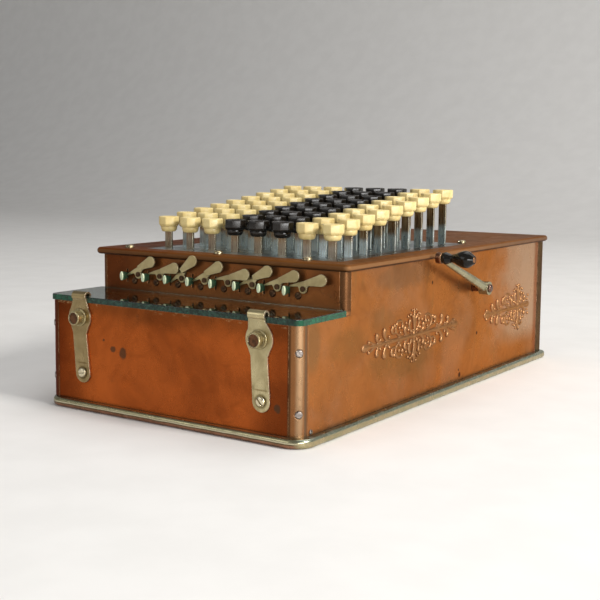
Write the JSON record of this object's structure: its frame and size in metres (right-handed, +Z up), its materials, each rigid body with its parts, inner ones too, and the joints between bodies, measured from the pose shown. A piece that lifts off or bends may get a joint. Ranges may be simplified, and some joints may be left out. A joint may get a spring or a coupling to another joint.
{
  "type": "key-driven calculator",
  "caption": "Key-driven adding machine in a stepped sheet-copper case, with eight-sided keys on flat stems, decimal pointers, a glass-topped numeral register and a side clearing crank.",
  "frame": {"origin": "centre of the case's underside, where it rests on the table", "axes": "+X to the machine's right, the crank side; +Y from the register to the back; +Z up"},
  "size_m": [0.2364, 0.3719, 0.1406],
  "materials": {
    "dark_steel": "oxidised steel",
    "nickel": "worn nickel plate, yellowed, with spots of green corrosion",
    "copper_case": "oxidised copper plate on sheet steel, worn and flaked",
    "guide_steel": "plain grey steel with light rust",
    "green_glass": "thick plate glass with a green edge",
    "thumb_screw_brass": "worn plated brass",
    "stem_steel": "dull steel with light rust",
    "aged_numerals": "aged white numeral wheels with black figures",
    "ferrule_copper": "turned copper alloy",
    "black_composition": "polished black composition",
    "cream_keys": "yellowed cream composition, slightly polished",
    "pointer_nickel": "worn nickel plate",
    "green_knobs": "pale cream-green enamel"
  },
  "bodies": {
    "case": {"base_plate": "dark_steel", "base_moulding": "nickel", "front_panel": "copper_case", "side_panels": "copper_case", "side_ornaments": "copper_case", "back_panel": "copper_case", "lever_panel": "copper_case", "deck_cover": "copper_case", "corner_posts": "copper_case", "key_guide_plates": "guide_steel", "register_glass": "green_glass", "register_cover": "nickel", "glass_clips": "nickel", "clip_thumb_screws": "thumb_screw_brass", "case_screws": "nickel", "panel_studs": "dark_steel", "mechanism_frames": "dark_steel", "frame_rods": "dark_steel", "key_springs": "stem_steel"},
    "keys_row_1": {"key_tops_row_1": "cream_keys", "key_stems_row_1": "stem_steel"},
    "keys_row_2": {"key_tops_row_2": "cream_keys", "key_stems_row_2": "stem_steel"},
    "keys_row_3": {"key_tops_row_3": "cream_keys", "key_stems_row_3": "stem_steel"},
    "keys_row_4": {"key_tops_row_4": "cream_keys", "key_stems_row_4": "stem_steel"},
    "keys_row_5": {"key_tops_row_5": "cream_keys", "key_stems_row_5": "stem_steel"},
    "keys_row_6": {"key_tops_row_6": "cream_keys", "key_stems_row_6": "stem_steel"},
    "keys_row_7": {"key_tops_row_7": "cream_keys", "key_stems_row_7": "stem_steel"},
    "keys_row_8": {"key_tops_row_8": "cream_keys", "key_stems_row_8": "stem_steel"},
    "keys_row_9": {"key_tops_row_9": "cream_keys", "key_stems_row_9": "stem_steel"},
    "column_levers": {"column_levers": "stem_steel"},
    "pointer_1": {"decimal_pointer_1": "pointer_nickel"},
    "pointer_2": {"decimal_pointer_2": "pointer_nickel"},
    "pointer_3": {"decimal_pointer_3": "pointer_nickel"},
    "pointer_4": {"decimal_pointer_4": "pointer_nickel"},
    "pointer_5": {"decimal_pointer_5": "pointer_nickel"},
    "pointer_6": {"decimal_pointer_6": "pointer_nickel"},
    "pointer_7": {"decimal_pointer_7": "pointer_nickel"},
    "pointer_8": {"decimal_pointer_8": "pointer_nickel"},
    "knob_1": {"cutoff_knob_1": "green_knobs"},
    "knob_2": {"cutoff_knob_2": "green_knobs"},
    "knob_3": {"cutoff_knob_3": "green_knobs"},
    "knob_4": {"cutoff_knob_4": "green_knobs"},
    "knob_5": {"cutoff_knob_5": "green_knobs"},
    "knob_6": {"cutoff_knob_6": "green_knobs"},
    "knob_7": {"cutoff_knob_7": "green_knobs"},
    "knob_8": {"cutoff_knob_8": "green_knobs"},
    "crank": {"crank_shaft": "dark_steel", "crank_arm": "nickel", "crank_spindle": "ferrule_copper"},
    "grip": {"crank_grip": "black_composition"},
    "clearing_link": {"clearing_link": "stem_steel"},
    "register_wheels": {"numeral_wheels": "aged_numerals"}
  },
  "joints": [
    {"name": "key_row_1_press", "type": "slide", "parent": "case", "child": "keys_row_1", "axis": [0, 0, 1], "range_m": [-0.0033, 0], "stiffness_N_per_m": 300, "springref_m": 0.01, "deforming": ["key_springs"]},
    {"name": "key_row_2_press", "type": "slide", "parent": "case", "child": "keys_row_2", "axis": [0, 0, 1], "range_m": [-0.00556, 0], "stiffness_N_per_m": 300, "springref_m": 0.01, "deforming": ["key_springs"]},
    {"name": "key_row_3_press", "type": "slide", "parent": "case", "child": "keys_row_3", "axis": [0, 0, 1], "range_m": [-0.00782, 0], "stiffness_N_per_m": 300, "springref_m": 0.01, "deforming": ["key_springs"]},
    {"name": "key_row_4_press", "type": "slide", "parent": "case", "child": "keys_row_4", "axis": [0, 0, 1], "range_m": [-0.01008, 0], "stiffness_N_per_m": 300, "springref_m": 0.01, "deforming": ["key_springs"]},
    {"name": "key_row_5_press", "type": "slide", "parent": "case", "child": "keys_row_5", "axis": [0, 0, 1], "range_m": [-0.01234, 0], "stiffness_N_per_m": 300, "springref_m": 0.01, "deforming": ["key_springs"]},
    {"name": "key_row_6_press", "type": "slide", "parent": "case", "child": "keys_row_6", "axis": [0, 0, 1], "range_m": [-0.0146, 0], "stiffness_N_per_m": 300, "springref_m": 0.01, "deforming": ["key_springs"]},
    {"name": "key_row_7_press", "type": "slide", "parent": "case", "child": "keys_row_7", "axis": [0, 0, 1], "range_m": [-0.01686, 0], "stiffness_N_per_m": 300, "springref_m": 0.01, "deforming": ["key_springs"]},
    {"name": "key_row_8_press", "type": "slide", "parent": "case", "child": "keys_row_8", "axis": [0, 0, 1], "range_m": [-0.01912, 0], "stiffness_N_per_m": 300, "springref_m": 0.01, "deforming": ["key_springs"]},
    {"name": "key_row_9_press", "type": "slide", "parent": "case", "child": "keys_row_9", "axis": [0, 0, 1], "range_m": [-0.02138, 0], "stiffness_N_per_m": 300, "springref_m": 0.01, "deforming": ["key_springs"]},
    {"name": "lever_swing", "type": "hinge", "parent": "case", "child": "column_levers", "pos_m": [0, 0.171, 0.01999], "axis": [1, 0, 0], "range_deg": [0, 10]},
    {"name": "pointer_1_turn", "type": "hinge", "parent": "case", "child": "pointer_1", "pos_m": [-0.06432, -0.1318, 0.0841], "axis": [0, -1, 0], "range_deg": [-14.9, 14.1]},
    {"name": "pointer_2_turn", "type": "hinge", "parent": "case", "child": "pointer_2", "pos_m": [-0.04528, -0.1318, 0.0841], "axis": [0, -1, 0], "range_deg": [-3.4, 25.6]},
    {"name": "pointer_3_turn", "type": "hinge", "parent": "case", "child": "pointer_3", "pos_m": [-0.02622, -0.1318, 0.0841], "axis": [0, -1, 0], "range_deg": [-27.8, 1.2]},
    {"name": "pointer_4_turn", "type": "hinge", "parent": "case", "child": "pointer_4", "pos_m": [-0.00717, -0.1318, 0.0841], "axis": [0, -1, 0], "range_deg": [-16, 13]},
    {"name": "pointer_5_turn", "type": "hinge", "parent": "case", "child": "pointer_5", "pos_m": [0.01188, -0.1318, 0.0841], "axis": [0, -1, 0], "range_deg": [-1.8, 27.2]},
    {"name": "pointer_6_turn", "type": "hinge", "parent": "case", "child": "pointer_6", "pos_m": [0.03093, -0.1318, 0.0841], "axis": [0, -1, 0], "range_deg": [-14.5, 14.5]},
    {"name": "pointer_7_turn", "type": "hinge", "parent": "case", "child": "pointer_7", "pos_m": [0.04997, -0.1318, 0.0841], "axis": [0, -1, 0], "range_deg": [-8, 21]},
    {"name": "pointer_8_turn", "type": "hinge", "parent": "case", "child": "pointer_8", "pos_m": [0.06903, -0.1318, 0.0841], "axis": [0, -1, 0], "range_deg": [-2.8, 26.2]},
    {"name": "knob_1_press", "type": "slide", "parent": "case", "child": "knob_1", "axis": [0, 1, 0], "range_m": [0, 0.0018], "stiffness_N_per_m": 100, "springref_m": -0.004},
    {"name": "knob_2_press", "type": "slide", "parent": "case", "child": "knob_2", "axis": [0, 1, 0], "range_m": [0, 0.0018], "stiffness_N_per_m": 100, "springref_m": -0.004},
    {"name": "knob_3_press", "type": "slide", "parent": "case", "child": "knob_3", "axis": [0, 1, 0], "range_m": [0, 0.0018], "stiffness_N_per_m": 100, "springref_m": -0.004},
    {"name": "knob_4_press", "type": "slide", "parent": "case", "child": "knob_4", "axis": [0, 1, 0], "range_m": [0, 0.0018], "stiffness_N_per_m": 100, "springref_m": -0.004},
    {"name": "knob_5_press", "type": "slide", "parent": "case", "child": "knob_5", "axis": [0, 1, 0], "range_m": [0, 0.0018], "stiffness_N_per_m": 100, "springref_m": -0.004},
    {"name": "knob_6_press", "type": "slide", "parent": "case", "child": "knob_6", "axis": [0, 1, 0], "range_m": [0, 0.0018], "stiffness_N_per_m": 100, "springref_m": -0.004},
    {"name": "knob_7_press", "type": "slide", "parent": "case", "child": "knob_7", "axis": [0, 1, 0], "range_m": [0, 0.0018], "stiffness_N_per_m": 100, "springref_m": -0.004},
    {"name": "knob_8_press", "type": "slide", "parent": "case", "child": "knob_8", "axis": [0, 1, 0], "range_m": [0, 0.0018], "stiffness_N_per_m": 100, "springref_m": -0.004},
    {"name": "crank_turn", "type": "hinge", "parent": "case", "child": "crank", "pos_m": [0.109, 0.045, 0.0708], "axis": [1, 0, 0], "range_deg": [-137, 0]},
    {"name": "grip_spin", "type": "hinge", "parent": "crank", "child": "grip", "pos_m": [0.122, -0.02961, 0.09796], "axis": [1, 0, 0], "continuous": true},
    {"name": "link_swing", "type": "hinge", "parent": "crank", "child": "clearing_link", "pos_m": [0.0815, 0.03496, 0.07737], "axis": [1, 0, 0], "range_deg": [0, 137]},
    {"name": "register_clear", "type": "hinge", "parent": "case", "child": "register_wheels", "pos_m": [0, -0.157, 0.045], "axis": [1, 0, 0], "range_deg": [-137, 0]}
  ],
  "couplings": [
    {"joint": "lever_swing", "follows": "key_row_9_press", "rad_per_m": -8.05},
    {"joint": "link_swing", "follows": "crank_turn", "ratio": -1},
    {"joint": "register_clear", "follows": "crank_turn", "ratio": 1}
  ]
}
